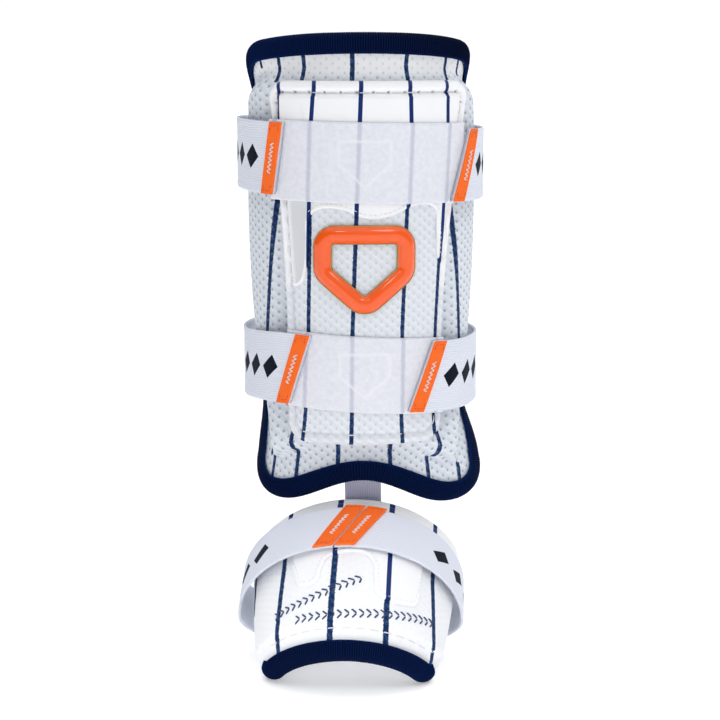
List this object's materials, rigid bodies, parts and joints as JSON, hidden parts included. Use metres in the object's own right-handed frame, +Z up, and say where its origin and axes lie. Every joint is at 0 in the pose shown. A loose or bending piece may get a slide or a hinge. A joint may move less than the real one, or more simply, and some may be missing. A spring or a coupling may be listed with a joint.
{
  "type": "batter's leg guard",
  "caption": "Padded shin guard with a raised front plate and elastic calf straps, with an instep guard hung on an elastic web and strapped under the foot.",
  "frame": {"origin": "shin seat: the middle of the inside face of the shin pad, 200 mm above the floor the toe edge stands on", "axes": "+Z up the shin, +Y back into the leg, so the front faces -Y, and +X to the right as seen from the front"},
  "size_m": [0.1359, 0.2089, 0.3289],
  "materials": {
    "mesh": "white spacer mesh over foam, with dark pinstripes",
    "leather": "smooth white synthetic leather with pinstripes",
    "binding": "dark blue ribbed tape",
    "badge": "glossy moulded orange with a thin gold rim",
    "band": "fuzzy lilac-white loop fabric",
    "elastic": "ribbed light grey elastic",
    "tab": "woven orange tape",
    "link": "grey elastic web"
  },
  "bodies": {
    "root": {"shin_pad": "mesh", "shin_plate": "mesh", "foot_pad": "mesh", "plate_overlay": "leather", "foot_overlay": "leather", "shin_binding": "binding", "foot_binding": "binding", "badge": "badge", "upper_band": "band", "lower_band": "band", "upper_strap": "elastic", "lower_strap": "elastic", "foot_strap": "elastic", "upper_tab_left": "tab", "upper_tab_right": "tab", "lower_tab_left": "tab", "lower_tab_right": "tab", "foot_tab_left": "tab", "foot_tab_right": "tab", "ankle_link": "link"}
  },
  "joints": []
}
